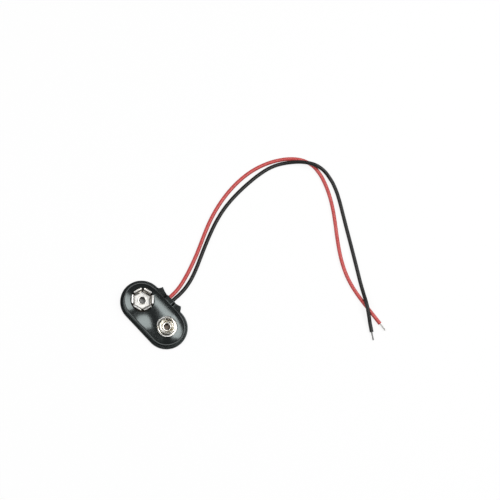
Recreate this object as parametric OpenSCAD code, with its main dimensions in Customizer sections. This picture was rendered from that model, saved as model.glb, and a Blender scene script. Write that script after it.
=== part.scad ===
// Battery snap: two welded soft covers, a fibre plate, a petal socket, a stud and two leads.
// Frame: origin on the back face, under the middle of the two contacts.
// +X runs from the socket to the stud, +Y to the side where the leads leave, +Z up out of the contacts.

/* [Covers] */
// Radius of the round ends of both covers
end_radius = 7.6; // [7.2:0.1:8.4]
// Thickness of the back cover sheet
back_sheet = 0.6; // [0.4:0.05:0.8]
// Thickness of the front cover sheet
front_sheet = 0.5; // [0.4:0.05:0.6]
// Thickness of the front sheet along the weld
weld_sheet = 0.45; // [0.3:0.05:0.6]
// Width of the welded edge
weld_width = 1; // [0.8:0.05:1.1]
// How far the weld squeezes the edge of the back sheet
weld_squeeze = 0.15; // [0.05:0.05:0.25]
// Radius along the top edge of the weld
weld_round = 0.1; // [0.05:0.05:0.2]
// Distance over which the front cover arches up from the weld
arch_run = 4.3; // [4.1:0.1:4.6]
// Boxiness of the arch, where 2 is a quarter ellipse
arch_power = 2; // [2:0.1:2.4]
// Slope of the front sheet from a contact's flange up to the arch
seat_slope = 0.3; // [0.2:0.05:0.5]
// Room between back sheet and plate for leads and solder
lead_room = 1.6; // [1.5:0.1:2.2]

/* [Lead tab] */
// Width of the tab that the leads leave through
tab_width = 10.6; // [9:0.1:12]
// How far the middle of the tab stands out past the side
tab_reach = 0.95; // [0.6:0.05:1.6]
// Radius of the round die that trims the tab
tab_die = 16; // [13:0.5:22]
// Width trimmed off the ear on the stud side
ear_trim = 1.6; // [0.8:0.1:2]
// Slant of the ears' outer flanks
ear_lean = 0.4; // [0:0.1:0.8]
// Distance between the two leads at the tab
lead_spacing = 1.4; // [1.4:0.05:1.8]
// How far the sheet over the leads reaches to each side at the arch
hood_reach = 0.7; // [0.3:0.1:1.2]
// How far the sheet over the leads climbs at the arch
hood_climb = 0.5; // [0.2:0.1:0.8]

/* [Plate] */
// Width of the fibre plate
plate_width = 9; // [8.4:0.1:9.2]
// Thickness of the fibre plate
plate_thickness = 0.8; // [0.5:0.1:1.2]

/* [Contacts] */
// Distance between the two contact centres
contact_pitch = 12.7; // [12.3:0.1:13.2]
// Thickness of the contact metal
contact_sheet = 0.3; // [0.2:0.05:0.35]
// Diameter of the stud
stud_diameter = 5.72; // [5.5:0.02:5.9]
// Height of the stud above the plate
stud_height = 2.9; // [2.7:0.05:3.2]
// Radius of the stud's outer top edge
stud_crest = 0.5; // [0.4:0.05:0.6]
// Radius of the lip where the stud's funnel starts
stud_lip = 0.4; // [0.38:0.02:0.5]
// How much thinner the stud is at its neck
neck_inset = 0.14; // [0.05:0.01:0.25]
// Height of the neck above the plate
neck_height = 0.85; // [0.6:0.05:1]
// Height where the stud reaches its full diameter
grip_height = 1.2; // [1.1:0.05:1.4]
// Diameter of the stud's flange
stud_flange = 8.2; // [8:0.1:8.5]
// Diameter of the cover's hole round the stud
stud_hole = 7.5; // [7:0.1:7.8]
// Width across flats at the socket's waist
socket_flats = 5.72; // [5.6:0.02:5.9]
// Height of the socket above the plate
socket_height = 2.8; // [2.6:0.05:3]
// Height of the socket's waist above the plate
waist_height = 1.75; // [1.5:0.05:1.9]
// How far the petals swell below the waist
petal_swell = 0.9; // [0.6:0.1:1.1]
// How far the petal tips flare past the waist
petal_flare = 0.8; // [0.5:0.1:0.9]
// Width of each petal
petal_width = 3; // [2.6:0.1:3]
// Angle of the first petal
petal_turn = 46; // [0:1:59]
// Diameter of the cover's hole round the socket
socket_hole = 8.4; // [8.2:0.1:9]

/* [Rivets] */
// Diameter of the hollow rivets' bore
rivet_bore = 2; // [1.6:0.1:2.1]
// Diameter of the rivets' shank
rivet_shank = 2.4; // [2.3:0.1:2.7]
// Diameter of the rivets' head
rivet_head = 3.4; // [3:0.1:3.5]
// Thickness of the rivets' head and tail
rivet_roll = 0.25; // [0.2:0.05:0.3]
// Diameter of the solder on each rivet
solder_diameter = 3.2; // [3:0.1:3.4]
// Depth of the solder on each rivet
solder_depth = 0.75; // [0.7:0.05:0.9]

/* [Leads] */
// Outside diameter of the insulated leads
wire_diameter = 1.2; // [1:0.05:1.3]
// Diameter of the bare twisted ends
conductor_diameter = 0.5; // [0.4:0.05:0.55]
// Length stripped at the outer end of each lead
strip_length = 3; // [2:0.5:6]

/* [Fits] */
// Clearance between pieces that seat on or pass through each other
clearance = 0.05; // [0.03:0.01:0.1]

/* [Hidden] */
$fn = 96;

vinyl = [0.1, 0.11, 0.11];
fibre = [0.42, 0.26, 0.16];
nickel = [0.84, 0.83, 0.8];
tin = [0.72, 0.73, 0.75];
red_pvc = [0.8, 0.3, 0.3];
black_pvc = [0.14, 0.14, 0.13];

// Levels, from the back face up
plate_bottom = back_sheet + lead_room;
plate_top = plate_bottom + plate_thickness;
weld_top = back_sheet + weld_sheet;
tail_bottom = plate_bottom - rivet_roll;
plate_radius = plate_width / 2;
rivet_hole = rivet_shank + 2 * clearance;

// The arch reaches its full height this far in from the edge, and its underside clears the stud's flange
arch_inset = weld_width + arch_run;
seat_level = plate_top + contact_sheet + 2 * clearance;
seat_radius = stud_flange / 2 + clearance;
seat_share = (seat_radius - end_radius + arch_inset) / (arch_run - front_sheet);
ceiling = back_sheet + (seat_level - back_sheet) / pow(1 - pow(seat_share, arch_power), 1 / arch_power);
crown = ceiling + front_sheet;

// Where the leads run: beside each other between the covers, then down to the floor
lead_x = lead_spacing / 2;
lead_lift = back_sheet + clearance;
lead_level = wire_diameter / 2 + lead_lift;
solder_level = tail_bottom - solder_depth / 2;
over = wire_diameter + 2 * clearance;
tab_edge = end_radius + tab_reach;

// Each route point is x, y and the lift above lying on the floor
red_route = [
    [-3.4, 2.2, lead_lift], [-2.2, 3.3, lead_lift], [-1.2, 4.5, lead_lift], [-lead_x, 5.6, lead_lift],
    [-lead_x, 9, lead_lift], [-0.8, 11.5, 0.5], [-1.4, 14.5, 0.15], [-2.5, 18, 0], [-4, 22, 0],
    [-5.5, 26, 0], [-7.5, 30, 0], [-9.5, 34, 0], [-11.5, 38.5, 0], [-13, 43, 0], [-14.5, 48, 0],
    [-15, 53, 0], [-15.5, 58, 0], [-15, 63, 0], [-14, 68, 0], [-12, 73, 0], [-9, 77.5, 0],
    [-5.5, 81, 0], [-1.5, 82.5, 0], [3, 82, 0], [7.5, 80.5, 0], [12, 78.5, 0], [16, 76, 0],
    [20, 73, 0], [24, 70, 0], [28, 67, 0], [32, 64.5, 0], [36, 62.5, 0], [40, 61, 0],
    [44.5, 60, 0], [49, 59.5, 0], [53.5, 59, 0], [58, 58.5, 0]];
black_route = [
    [3.4, 2.2, lead_lift], [2.2, 3.3, lead_lift], [1.2, 4.5, lead_lift], [lead_x, 5.6, lead_lift],
    [lead_x, 9, lead_lift], [0.8, 11.5, 0.5], [0.5, 15, 0.1], [-0.5, 19, 0], [-2, 22.5, 0],
    [-4, 26.5, 0], [-6, 31, 0], [-8, 35.5, 0], [-10, 40.5, 0], [-11.5, 45.5, 0], [-12, 50.5, 0],
    [-12.5, 55.5, 0], [-12.5, 60.5, 0], [-12, 65.5, 0], [-11.5, 69.5, 0], [-10, 73.5, 0],
    [-7.5, 77, 0.3 * over], [-4.5, 80, 0.85 * over], [-1, 83, over], [3, 84, 0.6 * over],
    [7, 83.5, 0.1], [11, 82.5, 0], [15, 80.5, 0], [19.5, 77.5, 0], [24, 75, 0], [28.5, 72.5, 0],
    [33, 69.5, 0], [37.5, 67, 0], [41.5, 64.5, 0], [45.5, 62, 0.4 * over], [49.5, 59.5, over],
    [53.5, 57, 0.55 * over], [56, 55.3, 0.1], [58, 54, 0]];

// Centre points of a lead
function raised(route) = [for (p = route) [p[0], p[1], p[2] + wire_diameter / 2]];

// A point past the first of two, in line with them
function past(end, before, length) = end + length * (end - before) / norm(end - before);

// The outer bare end of a lead, in line with its last stretch
function tip(route) =
    let (points = raised(route), last = len(points) - 1)
    [points[last], past(points[last], points[last - 1], strip_length)];

// The inner bare end of a lead: straight out of the insulation, then up into the solder on its side
tail_straight = 0.8;
solder_entry = [0.6, 0.3];
function tail(route) =
    let (points = raised(route), side = sign(points[0][0]))
    [points[0], past(points[0], points[1], tail_straight),
     [side * (contact_pitch / 2 - solder_entry[0]), solder_entry[1], solder_level]];

// Solid of round section along a path, with one ring of points at each path point
module sweep(path, radius) {
    sides = 8;
    last = len(path) - 1;
    rings = [for (i = [0:last])
        let (along = path[min(i + 1, last)] - path[max(i - 1, 0)],
             across = cross(along, [0, 0, 1]) / norm(cross(along, [0, 0, 1])),
             up = cross(across, along) / norm(along))
        for (k = [0:sides - 1])
            path[i] + radius * (cos(360 * k / sides) * across + sin(360 * k / sides) * up)];
    walls = [for (i = [0:last - 1], k = [0:sides - 1])
        let (a = i * sides + k, b = i * sides + (k + 1) % sides)
        each [[a, b, b + sides], [a, b + sides, a + sides]]];
    ends = [[for (k = [sides - 1:-1:0]) k], [for (k = [0:sides - 1]) last * sides + k]];
    polyhedron(rings, concat(walls, ends));
}

// Points of an arc, in order from the first angle to the last
function arc(centre, radius, first, last, steps = 6) =
    [for (i = [0:steps])
        let (a = first + (last - first) * i / steps)
        centre + radius * [cos(a), sin(a)]];

// Outline with two round ends centred on the contacts
module stadium(radius) {
    for (side = [-1, 1])
        translate([side * contact_pitch / 2, 0])
            circle(radius);
    square([contact_pitch, 2 * radius], center = true);
}

// The tab on the lead side, trimmed hollow by a round die, with one sharp ear and one blunt one
module tab_outline() {
    root = end_radius - weld_width;
    ear_top = tab_edge + tab_die - sqrt(tab_die * tab_die - tab_width * tab_width / 4) + clearance;
    difference() {
        polygon([[-tab_width / 2 - ear_lean, root],
                 [-tab_width / 2, ear_top],
                 [tab_width / 2 - ear_trim, ear_top],
                 [tab_width / 2, end_radius + ear_lean],
                 [tab_width / 2 + ear_lean, root]]);
        translate([0, tab_edge + tab_die])
            circle(tab_die, $fn = 360);
    }
}

module cover_outline() {
    stadium(end_radius);
    tab_outline();
}

// Section across the two leads side by side, widened all round by grow and resting on the back sheet
module lead_pair(grow) {
    radius = wire_diameter / 2 + clearance + grow;
    for (side = [-1, 1])
        translate([side * lead_x, lead_level])
            circle(radius);
    translate([-lead_x, lead_level])
        square([lead_spacing, radius]);
    translate([-lead_x - radius, back_sheet])
        square([lead_spacing + 2 * radius, lead_level - back_sheet]);
}

// A section in x and z drawn out along +Y from a given y
module along_y(start, length) {
    translate([0, start + length, 0])
        rotate([90, 0, 0])
            linear_extrude(length)
                children();
}

// Stations round the covers, as the spine position and the direction out from it.
// The list starts at the stud end, and station i mirrors station count - i.
round_steps = 12;
side_steps = 12;
half_way = concat(
    [for (i = [0:round_steps]) [contact_pitch / 2, 90 * i / round_steps]],
    [for (i = [1:side_steps]) [contact_pitch / 2 - contact_pitch * i / side_steps, 90]],
    [for (i = [1:round_steps]) [-contact_pitch / 2, 90 + 90 * i / round_steps]]);
stations = concat(half_way, [for (i = [len(half_way) - 2:-1:1]) [half_way[i][0], -half_way[i][1]]]);

// Highest level of the sheet's underside: flat on a contact's flange and rising away from it
function seat(x, y) =
    seat_level + seat_slope * max(norm([abs(x) - contact_pitch / 2, y]) - seat_radius, 0);

// One ring of the sheet, a set distance in from the edge. Share is the climb from floor to roof.
function ring(inset, floor_level, roof_level, share) =
    [for (s = stations)
        let (x = s[0] + (end_radius - inset) * cos(s[1]),
             y = (end_radius - inset) * sin(s[1]),
             level = floor_level + share * (roof_level - floor_level))
        [x, y, share == 0 ? level : min(level, seat(x, y) + roof_level - ceiling)]];

// Arch profile as pairs of inset and climb, then the crown in to a narrow strip along the spine
arch_steps = 10;
crown_steps = 2;
spine_strip = 0.8;
function profile(start) =
    let (run = arch_inset - start,
         step = (end_radius - spine_strip - arch_inset) / crown_steps)
    concat(
        [for (i = [0:arch_steps])
            let (a = 90 * i / arch_steps, p = 2 / arch_power)
            [start + run * (1 - pow(cos(a), p)), pow(sin(a), p)]],
        [for (i = [1:crown_steps]) [arch_inset + i * step, 1]]);

// The formed sheet: from the spine along its underside to the weld, round the edge and back over the top
module formed_sheet() {
    under = profile(weld_width + front_sheet);
    top = profile(weld_width);
    rings = concat(
        [for (i = [len(under) - 1:-1:0]) ring(under[i][0], back_sheet, ceiling, under[i][1])],
        [ring(0, back_sheet, back_sheet, 0),
         ring(0, weld_top - weld_round, back_sheet, 0),
         ring(weld_round, weld_top, back_sheet, 0)],
        [for (p = top) ring(p[0], weld_top, crown, p[1])]);
    count = len(stations);
    last = len(rings) - 1;
    walls = [for (k = [0:last - 1], i = [0:count - 1])
        let (a = k * count + i, b = k * count + (i + 1) % count)
        each [[a, a + count, b + count], [a, b + count, b]]];
    strip = [for (i = [0:count / 2 - 1])
        let (a = i, b = i + 1, c = count - i - 1, d = (count - i) % count)
        each concat(a == d ? [] : [[a, d, c]], b == c ? [] : [[a, c, b]])];
    under_strip = [for (f = strip) [f[0], f[2], f[1]]];
    top_strip = [for (f = strip) [for (i = f) i + last * count]];
    polyhedron([for (r = rings) each r], concat(walls, under_strip, top_strip));
}

// Room over the leads from the arch to the tab's edge, widened all round by grow
hood_root = 0.8;
module hood(grow) {
    slice = 0.01;
    hull() {
        along_y(tab_edge, slice)
            lead_pair(grow, $fn = 32);
        along_y(end_radius - weld_width - hood_root, slice) {
            for (side = [-1, 1])
                translate([side * hood_reach, hood_climb])
                    lead_pair(grow, $fn = 32);
        }
    }
}

module front_cover() {
    color(vinyl)
        difference() {
            union() {
                formed_sheet();
                translate([0, 0, back_sheet])
                    linear_extrude(weld_sheet)
                        tab_outline();
                intersection() {
                    hood(front_sheet - clearance);
                    translate([0, 0, back_sheet])
                        linear_extrude(crown)
                            cover_outline();
                }
            }
            translate([-contact_pitch / 2, 0, plate_bottom])
                cylinder(h = crown, d = socket_hole);
            translate([contact_pitch / 2, 0, plate_bottom])
                cylinder(h = crown, d = stud_hole);
            hood(0);
            along_y(plate_radius, 2 * end_radius)
                lead_pair(0);
        }
}

module back_cover() {
    color(vinyl) {
        translate([0, 0, weld_squeeze])
            linear_extrude(back_sheet - weld_squeeze)
                cover_outline();
        linear_extrude(back_sheet)
            stadium(end_radius - weld_width);
    }
}

module base_plate() {
    color(fibre)
        translate([0, 0, plate_bottom])
            linear_extrude(plate_thickness)
                difference() {
                    stadium(plate_radius);
                    for (side = [-1, 1])
                        translate([side * contact_pitch / 2, 0])
                            circle(d = rivet_hole);
                }
}

// Socket petal, as a strip of sheet bent along two curves: out and up to the waist, then out to the tip
function bezier(p, t) =
    pow(1 - t, 3) * p[0] + 3 * t * pow(1 - t, 2) * p[1] + 3 * t * t * (1 - t) * p[2] + pow(t, 3) * p[3];

// The floor's edge lies this far inside the waist, and each petal laps onto the floor
root_inset = 0.4;
root_lap = 0.2;
// Lengths over which the petal's curves ease into the waist from below and above, and into the tip
waist_ease = 0.65;
mouth_ease = 0.45;
tip_ease = [0.45, 0.1];
waist = socket_flats / 2 + contact_sheet / 2;
petal_root = waist - root_inset;
module petal() {
    half = contact_sheet / 2;
    end = [waist + petal_flare, socket_height - half];
    climb = [[petal_root, half], [waist + petal_swell, half],
             [waist, waist_height - waist_ease], [waist, waist_height]];
    flare = [[waist, waist_height], [waist, waist_height + mouth_ease], end - tip_ease, end];
    line = concat(
        [[petal_root - root_lap, half]],
        [for (i = [0:8]) bezier(climb, i / 8)],
        [for (i = [1:6]) bezier(flare, i / 6)]);
    last = len(line) - 1;
    side = [for (i = [0:last])
        let (along = line[min(i + 1, last)] - line[max(i - 1, 0)])
        half * [-along[1], along[0]] / norm(along)];
    rotate([90, 0, 0])
        linear_extrude(petal_width, center = true)
            polygon(concat(
                [for (i = [0:last]) line[i] + side[i]],
                [for (i = [last:-1:0]) line[i] - side[i]]));
}

module socket_contact() {
    petals = 6;
    color(nickel)
        translate([-contact_pitch / 2, 0, plate_top])
            rotate([0, 0, petal_turn])
                difference() {
                    union() {
                        rotate([0, 0, 180 / petals])
                            cylinder(h = contact_sheet, r = petal_root / cos(180 / petals), $fn = petals);
                        for (i = [0:petals - 1])
                            rotate([0, 0, i * 360 / petals])
                                petal();
                    }
                    translate([0, 0, -contact_sheet])
                        cylinder(h = 3 * contact_sheet, d = rivet_hole);
                }
}

// Stud drawn from one sheet: flange, neck, grip, rounded crest, and a funnel down to the rivet
module stud_contact() {
    sheet = contact_sheet;
    grip = stud_diameter / 2;
    neck = grip - neck_inset;
    crest = grip - stud_crest;
    funnel = rivet_head / 2 + 3 * clearance;
    outside = concat(
        [[stud_flange / 2, 0], [stud_flange / 2, sheet], [grip, sheet], [neck, neck_height],
         [grip, grip_height]],
        arc([crest, stud_height - stud_crest], stud_crest, 0, 90),
        arc([crest, stud_height - stud_lip], stud_lip, 90, 180),
        [[funnel, sheet], [rivet_hole / 2, sheet], [rivet_hole / 2, 0]]);
    inside = concat(
        [[funnel + sheet, 0]],
        arc([crest, stud_height - stud_lip], stud_lip - sheet, 180, 90),
        arc([crest, stud_height - stud_crest], stud_crest - sheet, 90, 0),
        [[grip - sheet, grip_height], [neck - sheet, neck_height], [grip - sheet, 0]]);
    color(nickel)
        translate([contact_pitch / 2, 0, plate_top])
            rotate_extrude()
                polygon(concat(outside, inside));
}

// Hollow rivet with its head on the contact and its rolled tail under the plate
module rivet(side) {
    bore = rivet_bore / 2;
    shank = rivet_shank / 2;
    head = rivet_head / 2;
    top = contact_sheet + rivet_roll;
    bottom = -plate_thickness - rivet_roll;
    chamfer = rivet_roll / 2;
    color(nickel)
        translate([side * contact_pitch / 2, 0, plate_top])
            rotate_extrude()
                polygon([[bore, top - chamfer], [bore + chamfer, top], [head - chamfer, top],
                         [head, top - chamfer], [head, contact_sheet], [shank, contact_sheet],
                         [shank, -plate_thickness], [head, -plate_thickness],
                         [head, bottom + chamfer], [head - chamfer, bottom], [bore, bottom]]);
}

module socket_rivet() {
    rivet(-1);
}

module stud_rivet() {
    rivet(1);
}

// Drop of solder on a rivet's tail, with the pocket that its conductor fills
module solder(side, route) {
    radius = solder_diameter / 2;
    color(tin)
        difference() {
            translate([side * contact_pitch / 2, 0, tail_bottom])
                rotate_extrude()
                    polygon(concat(
                        [[0, 0]],
                        [for (a = [0:10:90]) [radius * cos(a), -solder_depth * sin(a)]]));
            sweep(tail(route), conductor_diameter / 2 + clearance);
        }
}

module red_solder() {
    solder(-1, red_route);
}

module black_solder() {
    solder(1, black_route);
}

module red_lead() {
    color(red_pvc)
        sweep(raised(red_route), wire_diameter / 2);
}

module black_lead() {
    color(black_pvc)
        sweep(raised(black_route), wire_diameter / 2);
}

// The two stripped ends of a lead
module bare_ends(route) {
    color(tin) {
        sweep(tip(route), conductor_diameter / 2);
        sweep(tail(route), conductor_diameter / 2);
    }
}

module red_bare_ends() {
    bare_ends(red_route);
}

module black_bare_ends() {
    bare_ends(black_route);
}

front_cover();
back_cover();
base_plate();
socket_contact();
stud_contact();
socket_rivet();
stud_rivet();
red_solder();
black_solder();
red_lead();
red_bare_ends();
black_lead();
black_bare_ends();
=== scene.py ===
"""Battery snap with two leads: the looks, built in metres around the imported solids."""

import math

import bpy
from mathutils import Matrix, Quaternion, Vector


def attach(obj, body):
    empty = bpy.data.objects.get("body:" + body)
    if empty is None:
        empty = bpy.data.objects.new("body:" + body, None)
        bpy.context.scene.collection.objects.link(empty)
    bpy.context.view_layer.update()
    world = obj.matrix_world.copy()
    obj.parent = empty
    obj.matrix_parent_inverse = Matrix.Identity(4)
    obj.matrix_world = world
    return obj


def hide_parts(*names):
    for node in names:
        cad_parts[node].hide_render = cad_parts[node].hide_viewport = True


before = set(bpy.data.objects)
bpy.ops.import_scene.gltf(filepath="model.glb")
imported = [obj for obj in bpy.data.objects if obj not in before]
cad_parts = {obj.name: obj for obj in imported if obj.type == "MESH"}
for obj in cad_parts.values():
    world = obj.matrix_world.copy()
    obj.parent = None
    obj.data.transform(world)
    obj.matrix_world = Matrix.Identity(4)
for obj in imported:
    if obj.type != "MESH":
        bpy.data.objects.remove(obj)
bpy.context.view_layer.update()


# Camera: a long lens 0.4 m above the floor, which looks down steeply over the long side without leads.
# It is turned about its own axis, so that the snap lies at the lower left and the leads run to the right.
mm = 0.001
aim = Vector((6.0, 42.3, 0)) * mm
eye = Vector((33.9, -76.6, 401.9)) * mm
roll = Quaternion((0, 0, 1), math.radians(33.7))
camera_data = bpy.data.cameras.new("camera")
camera_data.lens = 83.1
camera = bpy.data.objects.new("camera", camera_data)
camera.location = eye
camera.rotation_euler = ((aim - eye).to_track_quat("-Z", "Y") @ roll).to_euler()
bpy.context.collection.objects.link(camera)
bpy.context.scene.camera = camera


# Base plate: a stamped plate of dark brown vulcanised fibre that both contacts are riveted to.
# It is hidden between the covers, so the imported solid stays and only gets its finish. The finish is darker
# than the fibre's own dark brown, a painted shade where the plate shows between the contacts' parts.
def new_finish(name):
    """A new material, its nodes, what links two sockets, its shader and its object coordinates."""
    finish = bpy.data.materials.new(name)
    finish.use_nodes = True
    nodes = finish.node_tree.nodes
    place = nodes.new("ShaderNodeTexCoord").outputs["Object"]
    return finish, nodes, finish.node_tree.links.new, nodes["Principled BSDF"], place


def dress(node, finish):
    """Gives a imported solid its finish."""
    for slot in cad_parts[node].material_slots:
        slot.material = finish


fibre, nodes, link, shader, place = new_finish("vulcanised_fibre")
shader.inputs["Specular IOR Level"].default_value = 0.3
stretch = nodes.new("ShaderNodeMapping")
stretch.inputs["Scale"].default_value = (600, 4000, 4000)
link(place, stretch.inputs["Vector"])
pulp = nodes.new("ShaderNodeTexNoise")
pulp.inputs["Scale"].default_value = 1
pulp.inputs["Detail"].default_value = 6
link(stretch.outputs["Vector"], pulp.inputs["Vector"])
# The ramp's near-black browns hold the fibre's own dark brown darkened further as a painted shade.
shade = nodes.new("ShaderNodeValToRGB")
shade.color_ramp.elements[0].position = 0.3
shade.color_ramp.elements[0].color = (0.012, 0.008, 0.006, 1)
shade.color_ramp.elements[1].position = 0.75
shade.color_ramp.elements[1].color = (0.028, 0.018, 0.013, 1)
link(pulp.outputs["Fac"], shade.inputs["Fac"])
link(shade.outputs["Color"], shader.inputs["Base Color"])
dryness = nodes.new("ShaderNodeMapRange")
dryness.inputs["To Min"].default_value = 0.6
dryness.inputs["To Max"].default_value = 0.85
link(pulp.outputs["Fac"], dryness.inputs["Value"])
link(dryness.outputs["Result"], shader.inputs["Roughness"])
dress("base_plate", fibre)


# Petal socket: spring sheet, nickel plated, with six petals bent up, out and over round a six-sided floor.
# The battery's stud snaps in between the petals. A hollow rivet holds the floor to the plate.
colour_kind = "NodeSocketColor"
value_kind = "NodeSocketFloat"


def surface_group(name, settings):
    """A node group that takes a place and settings, and gives a colour, a roughness and a height."""
    group = bpy.data.node_groups.new(name, "ShaderNodeTree")
    group.interface.new_socket("Vector", in_out="INPUT", socket_type="NodeSocketVector")
    for setting, kind in settings:
        group.interface.new_socket(setting, in_out="INPUT", socket_type=kind)
    for result, kind in (("Colour", colour_kind), ("Roughness", value_kind), ("Height", value_kind)):
        group.interface.new_socket(result, in_out="OUTPUT", socket_type=kind)
    return group, group.nodes, group.links.new


def plating_group():
    """Nickel plate: cloudy tarnish and fine rubbing."""
    settings = (("Bright", colour_kind), ("Tarnish", colour_kind),
                ("Polish", value_kind), ("Dullness", value_kind))
    group, nodes, link = surface_group("nickel_plating", settings)
    given = nodes.new("NodeGroupInput").outputs
    cloud = nodes.new("ShaderNodeTexNoise")
    cloud.inputs["Scale"].default_value = 420
    cloud.inputs["Detail"].default_value = 5
    cloud.inputs["Distortion"].default_value = 0.6
    link(given["Vector"], cloud.inputs["Vector"])
    spread = nodes.new("ShaderNodeMapRange")
    spread.inputs["From Min"].default_value = 0.38
    spread.inputs["From Max"].default_value = 0.72
    link(cloud.outputs["Fac"], spread.inputs["Value"])
    colour = nodes.new("ShaderNodeMix")
    colour.data_type = "RGBA"
    link(spread.outputs["Result"], colour.inputs["Factor"])
    link(given["Bright"], colour.inputs["A"])
    link(given["Tarnish"], colour.inputs["B"])
    rub = nodes.new("ShaderNodeTexNoise")
    rub.inputs["Scale"].default_value = 3200
    rub.inputs["Detail"].default_value = 3
    link(given["Vector"], rub.inputs["Vector"])
    gloss = nodes.new("ShaderNodeMapRange")
    link(rub.outputs["Fac"], gloss.inputs["Value"])
    link(given["Polish"], gloss.inputs["To Min"])
    link(given["Dullness"], gloss.inputs["To Max"])
    out = nodes.new("NodeGroupOutput").inputs
    link(colour.outputs["Result"], out["Colour"])
    link(gloss.outputs["Result"], out["Roughness"])
    link(rub.outputs["Fac"], out["Height"])
    return group


def surface_finish(name, group, settings, strength, relief):
    """A finish whose colour, roughness and fine relief come from a node group, and its shader."""
    finish, nodes, link, shader, place = new_finish(name)
    surface = nodes.new("ShaderNodeGroup")
    surface.node_tree = group
    for setting, value in settings.items():
        surface.inputs[setting].default_value = value
    link(place, surface.inputs["Vector"])
    link(surface.outputs["Colour"], shader.inputs["Base Color"])
    link(surface.outputs["Roughness"], shader.inputs["Roughness"])
    bump = nodes.new("ShaderNodeBump")
    bump.inputs["Strength"].default_value = strength
    bump.inputs["Distance"].default_value = relief * mm
    link(surface.outputs["Height"], bump.inputs["Height"])
    link(bump.outputs["Normal"], shader.inputs["Normal"])
    return finish, shader


def plated_finish(name, bright, tarnish, polish, dullness):
    """A bright metal finish from the plating group."""
    settings = {"Bright": bright, "Tarnish": tarnish, "Polish": polish, "Dullness": dullness}
    finish, shader = surface_finish(name, plating, settings, strength=0.12, relief=0.02)
    shader.inputs["Metallic"].default_value = 1
    return finish


def bezier(points, t):
    """A place on a curve given by four points."""
    weights = ((1 - t) ** 3, 3 * t * (1 - t) ** 2, 3 * t * t * (1 - t), t ** 3)
    return tuple(sum(w * p[i] for w, p in zip(weights, points)) for i in range(2))


def add_thickness(piece, thickness, offset):
    sheet = piece.modifiers.new("sheet", "SOLIDIFY")
    sheet.thickness = thickness * mm
    sheet.offset = offset


def ease_edges(piece, width, angle):
    """Rounds the edges that bend by more than an angle."""
    eased = piece.modifiers.new("eased", "BEVEL")
    eased.width = width * mm
    eased.segments = 3
    eased.limit_method = "ANGLE"
    eased.angle_limit = math.radians(angle)


def apply_modifiers(piece):
    bpy.ops.object.select_all(action="DESELECT")
    piece.select_set(True)
    bpy.context.view_layer.objects.active = piece
    for modifier in list(piece.modifiers):
        bpy.ops.object.modifier_apply(modifier=modifier.name)


def join_pieces(pieces, name):
    bpy.ops.object.select_all(action="DESELECT")
    for piece in pieces:
        piece.select_set(True)
    bpy.context.view_layer.objects.active = pieces[0]
    bpy.ops.object.join()
    bpy.ops.object.transform_apply(location=True, rotation=True, scale=True)
    pieces[0].name = pieces[0].data.name = name
    return pieces[0]


plating = plating_group()
polished = plated_finish("polished_nickel", (0.9, 0.88, 0.83, 1), (0.8, 0.75, 0.6, 1), 0.16, 0.28)
# The petal walls get a much darker nickel than their tips: a painted shade for the dark lines between and
# inside the petals.
petal_shade_nickel = plated_finish("painted_shade_nickel", (0.28, 0.265, 0.24, 1), (0.18, 0.165, 0.14, 1), 0.12, 0.26)
satin = plated_finish("satin_nickel", (0.9, 0.895, 0.88, 1), (0.82, 0.8, 0.74, 1), 0.42, 0.54)

contact_x = 6.35
plate_top = 3
contact_sheet = 0.3
rivet_hole = 2.5
floor_flat = 2.61
petal_root = 2.41
petal_width = 3
tip_round = 0.45
tip_level = 2.47
socket_turn = math.radians(46)
sixth = math.pi / 3
socket_centre = Vector((-contact_x, 0, plate_top)) * mm
swell = ((floor_flat, 0.15), (3.91, 0.15), (3.01, 1.1), (3.01, 1.75))
flare = ((3.01, 1.75), (3.01, 2.2), (3.36, 2.55), (3.81, 2.65))
petal_line = [(petal_root, contact_sheet / 2)]
petal_line += [bezier(swell, i / 14) for i in range(15)]
petal_line += [bezier(flare, i / 10) for i in range(1, 11)]

# One petal: a strip pushed out along its bend, its tip's corners rounded, then thickened, with eased edges
bpy.ops.object.select_all(action="DESELECT")
bpy.ops.mesh.primitive_plane_add(size=1)
petal = bpy.context.object
for vertex in petal.data.vertices:
    at = petal_line[0] if vertex.co.x < 0 else petal_line[1]
    vertex.co = (at[0] * mm, math.copysign(petal_width / 2 * mm, vertex.co.y), at[1] * mm)
bpy.ops.object.mode_set(mode="EDIT")
bpy.ops.mesh.select_mode(type="VERT")
bpy.ops.mesh.select_all(action="DESELECT")
bpy.ops.object.mode_set(mode="OBJECT")
for vertex in petal.data.vertices:
    vertex.select = vertex.co.x > (petal_root + floor_flat) / 2 * mm
bpy.ops.object.mode_set(mode="EDIT")
for before, after in zip(petal_line[1:], petal_line[2:]):
    step = ((after[0] - before[0]) * mm, 0, (after[1] - before[1]) * mm)
    bpy.ops.mesh.extrude_region_move(TRANSFORM_OT_translate={"value": step})
bpy.ops.mesh.bevel(offset=tip_round * mm, segments=4, affect="VERTICES")
bpy.ops.object.mode_set(mode="OBJECT")
add_thickness(petal, contact_sheet, 0)
ease_edges(petal, 0.06, 50)
apply_modifiers(petal)
petal.data.materials.append(petal_shade_nickel)
petal.data.materials.append(satin)
# Below the tips the petals carry the painted shade, and only the tips are bright satin.
for face in petal.data.polygons:
    face.material_index = 1 if face.center.z > tip_level * mm else 0
petals = [petal]
for turn in range(1, 6):
    copy = petal.copy()
    copy.data = petal.data.copy()
    copy.rotation_euler.z = turn * sixth
    bpy.context.collection.objects.link(copy)
    petals.append(copy)

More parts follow.
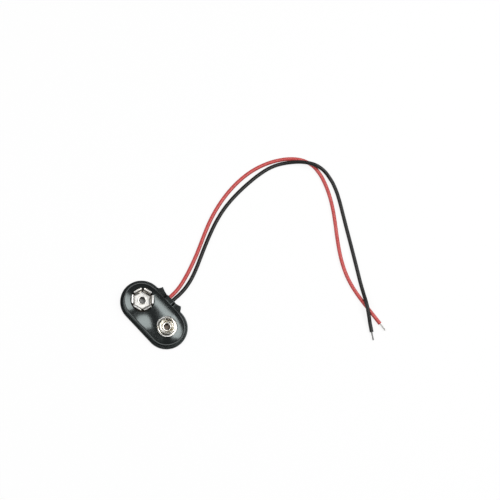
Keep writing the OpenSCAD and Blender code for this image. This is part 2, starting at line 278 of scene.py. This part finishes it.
# The floor: a ring round the rivet's hole, pulled out to six straight sides and given its thickness
bpy.ops.object.select_all(action="DESELECT")
bpy.ops.mesh.primitive_circle_add(vertices=72, radius=rivet_hole / 2 * mm)
floor_ring = bpy.context.object
bpy.ops.object.mode_set(mode="EDIT")
bpy.ops.mesh.select_all(action="SELECT")
bpy.ops.mesh.extrude_region_move()
bpy.ops.object.mode_set(mode="OBJECT")
for vertex in floor_ring.data.vertices:
    if vertex.select:
        turn = math.atan2(vertex.co.y, vertex.co.x)
        reach = floor_flat * mm / math.cos((turn + sixth / 2) % sixth - sixth / 2)
        vertex.co = (reach * math.cos(turn), reach * math.sin(turn), 0)
bpy.ops.object.mode_set(mode="EDIT")
bpy.ops.mesh.select_all(action="SELECT")
bpy.ops.mesh.extrude_region_move(TRANSFORM_OT_translate={"value": (0, 0, contact_sheet * mm)})
bpy.ops.mesh.select_all(action="SELECT")
bpy.ops.mesh.normals_make_consistent(inside=False)
bpy.ops.object.mode_set(mode="OBJECT")
floor_ring.data.materials.append(satin)
socket = join_pieces([floor_ring] + petals, "petal_socket")
socket.rotation_euler.z = socket_turn
socket.location = socket_centre
bpy.ops.object.transform_apply(location=True, rotation=True, scale=True)
bpy.ops.object.shade_smooth_by_angle(angle=math.radians(40))
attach(socket, "root")
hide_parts("socket_contact")


# Drawn stud: nickel-plated sheet drawn up into a round stud with a neck, a rolled crest and a funnel inside.
# Its flange lies under the front cover, and a hollow rivet through the funnel's floor holds it to the plate.
def arc(centre, radius, first, last, steps):
    turns = [math.radians(first + (last - first) * i / steps) for i in range(steps + 1)]
    return [(centre[0] + radius * math.cos(t), centre[1] + radius * math.sin(t)) for t in turns]


def turned(name, section, centre, finish):
    """A closed section of radius and height in millimetres, pushed on ring by ring round an upright axis."""
    first_radius, first_height = section[0]
    first_place = (0, 0, first_height * mm)
    bpy.ops.object.select_all(action="DESELECT")
    bpy.ops.mesh.primitive_circle_add(vertices=96, radius=first_radius * mm, location=first_place)
    piece = bpy.context.object
    piece.name = piece.data.name = name
    bpy.ops.object.mode_set(mode="EDIT")
    bpy.ops.mesh.select_all(action="SELECT")
    for before, after in zip(section, section[1:] + section[:1]):
        rise = (after[1] - before[1]) * mm
        grow = after[0] / before[0]
        bpy.ops.mesh.extrude_region_move(TRANSFORM_OT_translate={"value": (0, 0, rise)})
        bpy.ops.transform.resize(value=(grow, grow, 1), center_override=(0, 0, after[1] * mm))
    bpy.ops.mesh.select_all(action="SELECT")
    bpy.ops.mesh.remove_doubles(threshold=0.002 * mm)
    bpy.ops.mesh.normals_make_consistent(inside=False)
    bpy.ops.object.mode_set(mode="OBJECT")
    piece.location = piece.location + centre
    bpy.ops.object.transform_apply(location=True, rotation=True, scale=True)
    bpy.ops.object.shade_smooth_by_angle(angle=math.radians(40))
    piece.data.materials.append(finish)
    return piece


stud_centre = Vector((contact_x, 0, plate_top)) * mm
flange_start = 3.28
flange = [(4.1, 0), (4.1, 0.22), (4.02, 0.3), (3.3, 0.3)]
neck = arc((3.3, 0.85), 0.55, 270, 190, 8) + [(2.72, 0.85), (2.75, 0.95), (2.83, 1.1), (2.86, 1.2)]
rolled_crest = arc((2.5, 2.54), 0.36, 0, 90, 8) + arc((2.5, 2.66), 0.24, 90, 180, 8)
funnel = [(2.12, 2), (1.92, 1.1), (1.8, 0.62), (1.73, 0.4), (1.66, 0.3), (1.25, 0.3), (1.25, 0)]
funnel_back = [(2.05, 0), (2.08, 0.6), (2.2, 1.1), (2.38, 2), (2.44, 2.4), (2.48, 2.46), (2.53, 2.42)]
wall_back = [(2.56, 1.2), (2.42, 0.85), (2.42, 0)]
stud_section = flange + neck + rolled_crest + funnel + funnel_back + wall_back
stud = turned("drawn_stud", stud_section, stud_centre, polished)
stud.data.materials.append(satin)
for face in stud.data.polygons:
    face.material_index = 1 if (face.center - stud_centre).xy.length > flange_start * mm else 0
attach(stud, "root")
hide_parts("stud_contact")


# Rivets: two hollow eyelets, pressed from nickel-plated sheet.
# Each has its rolled head on a contact's floor, and its tail is rolled over under the plate.
rivet_nickel = plated_finish("rivet_nickel", (0.9, 0.89, 0.87, 1), (0.8, 0.77, 0.68, 1), 0.34, 0.48)
bore_shade_nickel = plated_finish("shaded_bore", (0.2, 0.19, 0.18, 1), (0.12, 0.11, 0.1, 1), 0.3, 0.45)
shank = 1.2
rivet_head = arc((1.42, 0.14), 0.42, 180, 90, 8) + [(1.5, 0.56)] + arc((1.5, 0.43), 0.13, 90, 0, 4)
rivet_tail = [(1.63, 0.3), (shank, 0.3), (shank, -0.8), (1.7, -0.8), (1.7, -0.92), (1.58, -1.05),
              (1.0, -1.05)]
for side, node, centre in (("socket", "socket_rivet", socket_centre), ("stud", "stud_rivet", stud_centre)):
    rivet = turned("rolled_rivet_" + side, rivet_head + rivet_tail, centre, rivet_nickel)
    # The faces inside the bore get the dark nickel, a painted shade down the hollow rivet.
    rivet.data.materials.append(bore_shade_nickel)
    for face in rivet.data.polygons:
        face.material_index = 1 if (face.center - centre).xy.length < shank * mm else 0
    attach(rivet, "root")
    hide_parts(node)


# Solder: a drop on each rivet's tail that holds the lead's strands, hidden over the back cover.
# The imported solids stay. Both are painted dark, a painted shade seen down the rivets' bores, and the one
# on the stud is also brown.
solder_in_shade = plated_finish("painted_shade_solder", (0.34, 0.34, 0.33, 1), (0.22, 0.22, 0.21, 1), 0.4, 0.6)
brown_solder_in_shade = plated_finish("brown_painted_shade_solder", (0.25, 0.21, 0.18, 1), (0.13, 0.1, 0.08, 1), 0.4, 0.6)
dress("red_solder", solder_in_shade)
dress("black_solder", brown_solder_in_shade)


# Leads: two soft stranded wires in red and black insulation, which leave side by side between the covers.
# Each is soldered to its rivet's tail inside.
# They lie on the floor, and the black one passes over the red one twice in low humps.
lead_width = 1.4
hump_start = 0.2
kink_ease = (0.5, -0.52)
ease_rounds = 4


def centre_line(route):
    """Points in the middle of a lead. Each route point is x, y and the lift above lying on the floor.
    Outside the snap each point is eased towards its neighbours and back, which takes out small kinks."""
    points = [Vector((x, y, lead_width / 2 + lift)) * mm for x, y, lift in route]
    for ease in kink_ease * ease_rounds:
        middles = [(a + b) / 2 - p for a, p, b in zip(points[4:], points[5:-1], points[6:])]
        for point, way in zip(points[5:-1], middles):
            point.xy += ease * way.xy
    return points


def lay_lead(name, route, finish):
    """A round lead on one smooth curve, which starts and ends each hump level."""
    points = centre_line(route)
    line = bpy.data.curves.new(name, "CURVE")
    line.dimensions = "3D"
    line.bevel_depth = lead_width / 2 * mm
    line.bevel_resolution = 5
    line.resolution_u = 6
    line.use_fill_caps = True
    spline = line.splines.new("BEZIER")
    spline.bezier_points.add(len(points) - 1)
    for i, point in enumerate(spline.bezier_points):
        before, here, after = points[max(i - 1, 0)], points[i], points[min(i + 1, len(points) - 1)]
        along = (after - before).normalized()
        if here.z < (lead_width / 2 + hump_start) * mm:
            along.z = 0
        point.co = here
        point.handle_left_type = point.handle_right_type = "FREE"
        point.handle_left = here - along * (here - before).length / 3
        point.handle_right = here + along * (after - here).length / 3
    line.materials.append(finish)
    lead = bpy.data.objects.new(name, line)
    bpy.context.collection.objects.link(lead)
    return lead


def skin_group():
    """Soft plastic skin: faint mottling and a fine uneven surface."""
    settings = (("Colour", colour_kind), ("Bloom", colour_kind), ("Grain", value_kind),
                ("Gloss", value_kind), ("Dullness", value_kind))
    group, nodes, link = surface_group("plastic_skin", settings)
    given = nodes.new("NodeGroupInput").outputs
    mottle = nodes.new("ShaderNodeTexNoise")
    mottle.inputs["Scale"].default_value = 260
    mottle.inputs["Detail"].default_value = 4
    link(given["Vector"], mottle.inputs["Vector"])
    bloom = nodes.new("ShaderNodeMapRange")
    bloom.inputs["From Min"].default_value = 0.45
    bloom.inputs["From Max"].default_value = 0.8
    link(mottle.outputs["Fac"], bloom.inputs["Value"])
    colour = nodes.new("ShaderNodeMix")
    colour.data_type = "RGBA"
    link(bloom.outputs["Result"], colour.inputs["Factor"])
    link(given["Colour"], colour.inputs["A"])
    link(given["Bloom"], colour.inputs["B"])
    grain = nodes.new("ShaderNodeTexNoise")
    grain.inputs["Detail"].default_value = 3
    link(given["Vector"], grain.inputs["Vector"])
    link(given["Grain"], grain.inputs["Scale"])
    gloss = nodes.new("ShaderNodeMapRange")
    link(mottle.outputs["Fac"], gloss.inputs["Value"])
    link(given["Gloss"], gloss.inputs["To Min"])
    link(given["Dullness"], gloss.inputs["To Max"])
    out = nodes.new("NodeGroupOutput").inputs
    link(colour.outputs["Result"], out["Colour"])
    link(gloss.outputs["Result"], out["Roughness"])
    link(grain.outputs["Fac"], out["Height"])
    return group


def skinned_finish(name, colour, bloom, grain, gloss, dullness, relief, shine=0.5):
    """A soft plastic finish from the skin group."""
    settings = {"Colour": colour, "Bloom": bloom, "Grain": grain, "Gloss": gloss, "Dullness": dullness}
    finish, shader = surface_finish(name, skin, settings, strength=0.3, relief=relief)
    shader.inputs["Specular IOR Level"].default_value = shine
    return finish


skin = skin_group()
red_skin = skinned_finish("red_insulation", (0.5, 0.055, 0.05, 1), (0.56, 0.09, 0.085, 1),
                          grain=3000, gloss=0.36, dullness=0.5, relief=0.02)
black_skin = skinned_finish("black_insulation", (0.009, 0.009, 0.0085, 1), (0.015, 0.015, 0.014, 1),
                            grain=3000, gloss=0.36, dullness=0.48, relief=0.02, shine=0.3)

beside = 0.78
tab_lift = 0.65
over = lead_width + 0.1
red_route = [
    (-3.4, 2.2, tab_lift), (-2.2, 3.3, tab_lift), (-1.2, 4.5, tab_lift), (-beside, 5.6, tab_lift),
    (-beside, 9, tab_lift), (-0.8, 11.5, 0.5), (-1.4, 14.5, 0.15), (-2.5, 18, 0), (-4, 22, 0),
    (-5.5, 26, 0), (-7.5, 30, 0), (-9.5, 34, 0), (-11.5, 38.5, 0), (-13, 43, 0), (-14.5, 48, 0),
    (-15, 53, 0), (-15.5, 58, 0), (-15, 63, 0), (-14, 68, 0), (-12, 73, 0), (-9, 77.5, 0),
    (-5.5, 81, 0), (-1.5, 82.5, 0), (3, 82, 0), (7.5, 80.5, 0), (12, 78.5, 0), (16, 76, 0),
    (20, 73, 0), (24, 70, 0), (28, 67, 0), (32, 64.5, 0), (36, 62.5, 0), (40, 61, 0),
    (44.5, 60, 0), (49, 59.5, 0), (53.5, 59, 0), (58, 58.5, 0)]
black_route = [
    (3.4, 2.2, tab_lift), (2.2, 3.3, tab_lift), (1.2, 4.5, tab_lift), (beside, 5.6, tab_lift),
    (beside, 9, tab_lift), (0.8, 11.5, 0.5), (0.5, 15, 0.1), (-0.5, 19, 0), (-2, 22.5, 0),
    (-4, 26.5, 0), (-6, 31, 0), (-8, 35.5, 0), (-10, 40.5, 0), (-11.5, 45.5, 0), (-12, 50.5, 0),
    (-12.5, 55.5, 0), (-12.5, 60.5, 0), (-12, 65.5, 0), (-11.5, 69.5, 0), (-10, 73.5, 0),
    (-7.5, 77, 0.3 * over), (-4.5, 80, 0.85 * over), (-1, 83, over), (3, 84, 0.6 * over),
    (7, 83.5, 0.1), (11, 82.5, 0), (15, 80.5, 0), (19.5, 77.5, 0), (24, 75, 0), (28.5, 72.5, 0),
    (33, 69.5, 0), (37.5, 67, 0), (41.5, 64.5, 0), (45.5, 62, 0.4 * over), (49.5, 59.5, over),
    (53.5, 57, 0.55 * over), (56, 55.3, 0.1), (58, 54, 0)]
red_lead = lay_lead("red_wire", red_route, red_skin)
black_lead = lay_lead("black_wire", black_route, black_skin)


# Stripped ends: seven tinned copper strands twisted together, 3 mm bare at the far end of each lead.
# At the near end they run from the insulation up into the solder.
strand_width = 0.19
strand_twist = 1.6
strand_steps = 24
bare_length = 3
near_length = 0.8
joint_x, joint_y, joint_level = 5.75, 0.3, 1.575


def twist(path):
    """Seven strands round a path of points, each a thin tube, as one list of objects."""
    made = []
    spans = [(b - a).length for a, b in zip(path, path[1:])]
    for strand in range(7):
        line = bpy.data.curves.new("strand", "CURVE")
        line.dimensions = "3D"
        line.bevel_depth = strand_width / 2 * mm
        line.bevel_resolution = 2
        line.use_fill_caps = True
        spline = line.splines.new("POLY")
        spline.points.add(strand_steps)
        for i, point in enumerate(spline.points):
            way = i / strand_steps * sum(spans)
            walked, leg = way, 0
            while leg < len(spans) - 1 and walked > spans[leg]:
                walked -= spans[leg]
                leg += 1
            along = (path[leg + 1] - path[leg]).normalized()
            across = along.cross(Vector((0, 0, 1))).normalized()
            turn = strand * sixth + way / mm * strand_twist
            off = 0 if strand == 6 else strand_width * mm
            aside = off * (math.cos(turn) * across + math.sin(turn) * across.cross(along))
            point.co = (*(path[leg] + along * walked + aside), 1)
        tube = bpy.data.objects.new("strand", line)
        bpy.context.collection.objects.link(tube)
        made.append(tube)
    return made


bright_tin = plated_finish("bright_strands", (0.62, 0.61, 0.59, 1), (0.5, 0.48, 0.45, 1), 0.4, 0.55)
# The black lead's strands are the same tinned copper as the red's, painted darker grey as a painted shade.
strand_shade_tin = plated_finish("painted_shade_strands", (0.3, 0.3, 0.3, 1), (0.2, 0.2, 0.19, 1), 0.36, 0.52)
stripped = (("red_strands", "red_bare_ends", red_lead, red_route, -1, bright_tin),
            ("black_strands", "black_bare_ends", black_lead, black_route, 1, strand_shade_tin))
for name, node, lead, route, side, tin in stripped:
    points = centre_line(route)
    far = points[-1] + bare_length * mm * (points[-1] - points[-2]).normalized()
    near = points[0] + near_length * mm * (points[0] - points[1]).normalized()
    joint = Vector((side * joint_x, joint_y, joint_level)) * mm
    tubes = twist([points[-1], far]) + twist([points[0], near, joint])
    bpy.ops.object.select_all(action="DESELECT")
    for tube in tubes:
        tube.select_set(True)
    bpy.context.view_layer.objects.active = tubes[0]
    bpy.ops.object.convert(target="MESH")
    ends = join_pieces(list(bpy.context.selected_objects), name)
    bpy.ops.object.shade_smooth_by_angle(angle=math.radians(50))
    ends.data.materials.clear()
    ends.data.materials.append(tin)
    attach(ends, "root")
    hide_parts(node)
    wire_node = node.replace("bare_ends", "lead")
    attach(lead, "root")
    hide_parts(wire_node)


# Back cover: flat black vinyl sheet with a fine leathery grain, cut to the snap's outline with the lead tab.
# Its edge is squeezed thinner where it is welded to the front cover.
end_radius = 7.6
weld_width = 0.85
weld_step = 0.08
weld_sheet = 0.45
squeeze_start, squeeze_end = 0.05, 0.1
hair = 0.01 * mm


def select_where(cover, test):
    """In edit mode, selects the points that pass the test and what lies between them."""
    mode = tuple(bpy.context.tool_settings.mesh_select_mode)
    bpy.ops.mesh.select_mode(type="VERT")
    bpy.ops.mesh.select_all(action="DESELECT")
    bpy.ops.object.mode_set(mode="OBJECT")
    for vertex in cover.data.vertices:
        vertex.select = test(vertex.co)
    bpy.ops.object.mode_set(mode="EDIT")
    bpy.ops.mesh.select_mode(type="VERT" if mode[0] else "EDGE" if mode[1] else "FACE")


def add_cover_outline(name, round_steps=120, side_steps=80):
    """A filled outline with two round ends over the contacts and steps along each straight side."""
    bpy.ops.object.select_all(action="DESELECT")
    bpy.ops.mesh.primitive_circle_add(vertices=round_steps, radius=end_radius * mm)
    cover = bpy.context.object
    cover.name = cover.data.name = name
    bpy.ops.object.mode_set(mode="EDIT")
    bpy.ops.mesh.select_mode(type="VERT")
    bpy.ops.transform.rotate(value=math.pi / round_steps, orient_axis="Z", center_override=(0, 0, 0))
    for side in (-1, 1):
        select_where(cover, lambda co: co.x * side > 0)
        bpy.ops.transform.translate(value=(side * contact_x * mm, 0, 0))
    bpy.ops.mesh.select_mode(type="EDGE")
    select_where(cover, lambda co: abs(co.x) < (contact_x + 0.35) * mm)
    bpy.ops.mesh.subdivide(number_cuts=side_steps - 1)
    bpy.ops.mesh.select_all(action="SELECT")
    bpy.ops.mesh.edge_face_add()
    return cover


tab_left, tab_right = -6.5, 5.7
sharp_ear, sharp_rise = -5.2, 1.6
blunt_ear, blunt_top = 4.3, 9.05
blunt_corner, blunt_rise = 5, 0.75
die_x, die_y, die_radius = -0.3, 20, 11.849
tab_steps = 6


def tab_edge(x):
    """How far out the tab reaches at x: a hollow cut by a round die, between a sharp and a blunt ear."""
    if x < sharp_ear:
        return end_radius + sharp_rise * max((x - tab_left) / (sharp_ear - tab_left), 0) ** 2.5
    if x > blunt_corner:
        return end_radius + blunt_rise * max((tab_right - x) / (tab_right - blunt_corner), 0) ** 2
    if x > blunt_ear:
        return blunt_top - (x - blunt_ear)
    return die_y - math.sqrt(die_radius ** 2 - (x - die_x) ** 2)


def on_tab_side(co):
    """Whether a point of the flat outline lies where the tab starts."""
    return co.y > (end_radius - 0.05) * mm and tab_left * mm < co.x < tab_right * mm and abs(co.z) < hair


def add_tab(cover):
    """Pushes the straight side's edge out into the tab, in steps."""
    bpy.ops.mesh.select_mode(type="EDGE")
    select_where(cover, on_tab_side)
    for step in range(tab_steps):
        bpy.ops.mesh.extrude_region_move()
        bpy.ops.object.mode_set(mode="OBJECT")
        for vertex in cover.data.vertices:
            if vertex.select:
                vertex.co.y += (tab_edge(vertex.co.x / mm) * mm - vertex.co.y) / (tab_steps - step)
        bpy.ops.object.mode_set(mode="EDIT")


vinyl = skinned_finish("gloss_vinyl", (0.004, 0.0047, 0.0046, 1), (0.007, 0.008, 0.0078, 1),
                       grain=1400, gloss=0.17, dullness=0.25, relief=0.006, shine=1)
pressed = skinned_finish("pressed_vinyl", (0.005, 0.0057, 0.0056, 1), (0.009, 0.01, 0.0098, 1),
                         grain=2600, gloss=0.18, dullness=0.28, relief=0.02)
leathery = skinned_finish("grained_vinyl", (0.008, 0.009, 0.009, 1), (0.014, 0.015, 0.015, 1),
                          grain=2600, gloss=0.34, dullness=0.5, relief=0.09)
for sheet_finish in (vinyl, pressed):
    shader = sheet_finish.node_tree.nodes["Principled BSDF"]
    shader.inputs["IOR"].default_value = 1.54
    shader.inputs["Specular Tint"].default_value = (0.89, 1, 0.99, 1)

back = add_cover_outline("back_sheet")
bpy.ops.mesh.select_mode(type="FACE")
bpy.ops.mesh.select_all(action="SELECT")
bpy.ops.mesh.inset(thickness=weld_width * mm, depth=0)
bpy.ops.mesh.inset(thickness=weld_step * mm, depth=-squeeze_start * mm)
bpy.ops.mesh.inset(thickness=weld_step * mm, depth=-squeeze_end * mm)
add_tab(back)

# The open edge is raised to the weld's level and closed by the upper face, and the middle rests on the floor
bpy.ops.mesh.select_mode(type="EDGE")
bpy.ops.mesh.select_all(action="DESELECT")
bpy.ops.mesh.select_non_manifold(extend=False, use_wire=False, use_multi_face=False,
                                 use_non_contiguous=False, use_verts=False)
bpy.ops.mesh.extrude_region_move(TRANSFORM_OT_translate={"value": (0, 0, weld_sheet * mm)})
bpy.ops.mesh.edge_face_add()
bpy.ops.mesh.select_all(action="SELECT")
bpy.ops.mesh.normals_make_consistent(inside=False)
bpy.ops.mesh.select_all(action="SELECT")
bpy.ops.transform.translate(value=(0, 0, (squeeze_start + squeeze_end) * mm))
bpy.ops.object.mode_set(mode="OBJECT")
ease_edges(back, 0.08, 60)
apply_modifiers(back)
bpy.ops.object.shade_smooth_by_angle(angle=math.radians(40))
back.data.materials.append(leathery)
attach(back, "root")
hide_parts("back_cover")


# Front cover: glossy black vinyl sheet, formed warm into an arch over the plate and welded along its edge.
# It lies on the contact flanges round its two holes, and is drawn down over the leads to the hollow tab.
front_sheet = 0.44
weld_level = 1.05
pressed_edge = 7
ring_insets = (0.56, 0.62, 0.7, 0.8, 0.9, 0.95, 0.98, 1.0, 1.02, 1.05, 1.1, 1.16, 1.23, 1.3, 1.38, 1.46,
               1.56, 1.7, 1.9, 2.1, 2.3, 2.5, 2.7, 2.9)
inner = end_radius - ring_insets[-1] + 0.02
stud_hole, stud_lip = 3.65, 3.33
socket_hole, socket_lip = 4.2, 3.06
hole_rings = 14
parting_steps = 40
lip_step = 0.04

front = add_cover_outline("front_sheet")
bpy.ops.mesh.select_mode(type="FACE")
bpy.ops.mesh.select_all(action="SELECT")
for last_inset, inset in zip((0,) + ring_insets, ring_insets):
    bpy.ops.mesh.inset(thickness=(inset - last_inset) * mm, depth=0)
add_tab(front)


def from_spine(co):
    """Distance from the line between the two contacts, in millimetres."""
    return math.hypot(max(abs(co.x / mm) - contact_x, 0), co.y / mm)


# The inner face is parted between the contacts, and each half is pushed in to its contact's hole in rings
bpy.ops.mesh.select_mode(type="VERT")
select_where(front, lambda co: abs(co.x) < hair and abs(co.y) < inner * mm)
bpy.ops.mesh.vert_connect_path()
bpy.ops.mesh.select_mode(type="EDGE")
select_where(front, lambda co: abs(co.x) < hair and abs(co.y) < inner * mm)
bpy.ops.mesh.subdivide(number_cuts=parting_steps - 1)
bpy.ops.mesh.select_mode(type="FACE")
select_where(front, lambda co: from_spine(co) < inner)
bpy.ops.mesh.delete(type="ONLY_FACE")
for side, hole in ((1, stud_hole), (-1, socket_hole)):
    bpy.ops.mesh.select_mode(type="EDGE")
    select_where(front, lambda co: from_spine(co) < inner and co.x * side > -hair)
    for ring in range(hole_rings + 1):
        bpy.ops.mesh.extrude_region_move()
        bpy.ops.object.mode_set(mode="OBJECT")
        for vertex in front.data.vertices:
            if vertex.select:
                out = Vector((vertex.co.x - side * contact_x * mm, vertex.co.y))
                if ring < hole_rings:
                    out *= 1 - (1 - hole * mm / out.length) / (hole_rings - ring)
                else:
                    out *= 1 - lip_step * mm / out.length
                vertex.co.x = out.x + side * contact_x * mm
                vertex.co.y = out.y
        bpy.ops.object.mode_set(mode="EDIT")
bpy.ops.mesh.select_all(action="SELECT")
bpy.ops.mesh.normals_make_consistent(inside=False)
bpy.ops.object.mode_set(mode="OBJECT")


def smooth_step(t):
    t = min(max(t, 0), 1)
    return t * t * (3 - 2 * t)


def soft_greatest(a, b, ease):
    """The greater of two heights, eased where they meet."""
    share = min(max(0.5 + (a - b) / (2 * ease), 0), 1)
    return b + (a - b) * share + ease * share * (1 - share)


# The formed top: an arch across the snap that droops over both ends, with swells along the open side
crest = 4.4
lead_side_fall = 0.0233
lead_side_shoulder = 0.00041
open_side_fall = 0.04
droop_start = 5
socket_droop = 0.013
stud_droop = 0.03
socket_twist = 0.0125
stud_twist = 0.009
twist_ease = 2
swell_height = 0.18
swell_length = 9.2
swell_middle = (2.3, -4)
swell_width = 3.5


def formed_height(x, y):
    """Height of the sheet's upper face between the welds. Past the stud only the lead side twists."""
    past_socket = max(-x - droop_start, 0)
    past_stud = max(x - droop_start, 0)
    fall = lead_side_fall * y ** 2 + lead_side_shoulder * y ** 4 if y > 0 else open_side_fall * y ** 2
    droop = socket_droop * past_socket ** 2 + stud_droop * past_stud ** 2
    by_leads = smooth_step((y + twist_ease) / (2 * twist_ease))
    twist = (socket_twist * past_socket + stud_twist * past_stud * by_leads) * y
    wave = math.cos(2 * math.pi * (x - swell_middle[0]) / swell_length)
    fade = math.exp(-((y - swell_middle[1]) / swell_width) ** 2)
    return crest - fall - droop - twist + swell_height * wave * fade


# Each point is lifted: a steep rounded wall over the weld, the formed top, the holes' lips and the hood
wall_foot = 6.6
wall_run = 0.55
wall_run_by_leads = 0.25
lead_side_half, lead_side_ease = 5, 3
hood_rise = 1.46
hood_half = 1.42
hood_flank = 0.9
hood_start, hood_reach = 5, 3
hood_blend, flank_blend = 0.2, 0.01
blend_start = 1.5
for vertex in front.data.vertices:
    x, y = vertex.co.xy / mm
    away = from_spine(vertex.co)
    level = weld_level
    by_leads = 1 - smooth_step((abs(x) - lead_side_half) / lead_side_ease) if y > 0 else 0
    if away < wall_foot:
        wall = min((wall_foot - away) / (wall_run + (wall_run_by_leads - wall_run) * by_leads), 1)
        level += (formed_height(x, y) - level) * math.sqrt(1 - (1 - wall) ** 2)
    if math.hypot(abs(x) - contact_x, y) < (stud_hole if x > 0 else socket_hole) - lip_step / 2:
        level = stud_lip if x > 0 else socket_lip
    if y > hood_start and abs(x) < hood_reach:
        hood = weld_level + hood_rise * (1 - smooth_step((abs(x) - hood_half) / hood_flank))
        on_flank = smooth_step((abs(x) - blend_start) / (hood_reach - blend_start))
        level = soft_greatest(level, hood, hood_blend + (flank_blend - hood_blend) * on_flank)
    vertex.co.z = level * mm
add_thickness(front, front_sheet, -1)
ease_edges(front, 0.1, 55)
apply_modifiers(front)

# The hot sheet thins on its underside where it is drawn over the stud's flange and the plate
flange_reach, over_flange = 4.3, 3.32
plate_reach, over_plate = 4.8, 3.02
for vertex in front.data.vertices:
    x, y, level = vertex.co / mm
    rest = over_flange if math.hypot(x - contact_x, y) < flange_reach else over_plate
    if from_spine(vertex.co) < plate_reach and level < rest:
        vertex.co.z = rest * mm
bpy.ops.object.shade_smooth_by_angle(angle=math.radians(50))
front.data.materials.append(vinyl)
front.data.materials.append(pressed)
for face in front.data.polygons:
    face.material_index = 1 if from_spine(face.center) > pressed_edge else 0
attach(front, "root")
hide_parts("front_cover")


# Studio: a floor of matt white paper, which is seen almost white and keeps a faint shadow.
# Two softboxes on opposite sides mirror in the vinyl, and the rest of the room is dim.
bpy.ops.object.select_all(action="DESELECT")
bpy.ops.mesh.primitive_plane_add(size=4)
ground = bpy.context.object
ground.name = "studio_floor"
paper = bpy.data.materials.new("white_paper")
paper.use_nodes = True
nodes, link = paper.node_tree.nodes, paper.node_tree.links.new
matt = nodes["Principled BSDF"]
matt.inputs["Base Color"].default_value = (0.88, 0.88, 0.88, 1)
matt.inputs["Roughness"].default_value = 0.9
matt.inputs["Specular IOR Level"].default_value = 0.1
glow = nodes.new("ShaderNodeEmission")
glow.inputs["Color"].default_value = (1, 1, 1, 1)
mirrored = nodes.new("ShaderNodeEmission")
mirrored.inputs["Color"].default_value = (0.95, 0.95, 0.95, 1)
ray = nodes.new("ShaderNodeLightPath")
seen = nodes.new("ShaderNodeMath")
seen.operation = "MAXIMUM"
link(ray.outputs["Is Camera Ray"], seen.inputs[0])
link(ray.outputs["Is Transmission Ray"], seen.inputs[1])
whiten = nodes.new("ShaderNodeMath")
whiten.operation = "MULTIPLY"
whiten.inputs[1].default_value = 0.88
link(seen.outputs["Value"], whiten.inputs[0])
lit = nodes.new("ShaderNodeMixShader")
link(whiten.outputs["Value"], lit.inputs["Fac"])
link(matt.outputs["BSDF"], lit.inputs[1])
link(glow.outputs["Emission"], lit.inputs[2])
blend = nodes.new("ShaderNodeMixShader")
link(ray.outputs["Is Glossy Ray"], blend.inputs["Fac"])
link(lit.outputs["Shader"], blend.inputs[1])
link(mirrored.outputs["Emission"], blend.inputs[2])
link(blend.outputs["Shader"], nodes["Material Output"].inputs["Surface"])
ground.data.materials.append(paper)


def softbox(name, azimuth, elevation, width, height, power, distance=0.6):
    """A softbox that faces the snap, with its sizes and its distance in metres."""
    lamp = bpy.data.lights.new(name, "AREA")
    lamp.shape = "RECTANGLE"
    lamp.size = width
    lamp.size_y = height
    lamp.energy = power
    box = bpy.data.objects.new(name, lamp)
    turn, lift = math.radians(azimuth), math.radians(elevation)
    out = Vector((math.cos(turn) * math.cos(lift), math.sin(turn) * math.cos(lift), math.sin(lift)))
    box.location = distance * out
    box.rotation_euler = out.to_track_quat("Z", "Y").to_euler()
    bpy.context.collection.objects.link(box)


softbox("softbox_lead_side", azimuth=60, elevation=56, width=0.585, height=0.367, power=3.2)
softbox("softbox_open_side", azimuth=230, elevation=54, width=0.45, height=0.33, power=2)
room = bpy.data.worlds.new("room")
room.use_nodes = True
nodes, link = room.node_tree.nodes, room.node_tree.links.new
dim = nodes["Background"]
dim.inputs["Color"].default_value = (0.085, 0.087, 0.088, 1)
dim.inputs["Strength"].default_value = 1
bright = nodes.new("ShaderNodeBackground")
bright.inputs["Color"].default_value = (1, 1, 1, 1)
ray = nodes.new("ShaderNodeLightPath")
blend = nodes.new("ShaderNodeMixShader")
link(ray.outputs["Is Camera Ray"], blend.inputs["Fac"])
link(dim.outputs["Background"], blend.inputs[1])
link(bright.outputs["Background"], blend.inputs[2])
link(blend.outputs["Shader"], nodes["World Output"].inputs["Surface"])
bpy.context.scene.world = room
bpy.context.scene.view_settings.view_transform = "Standard"
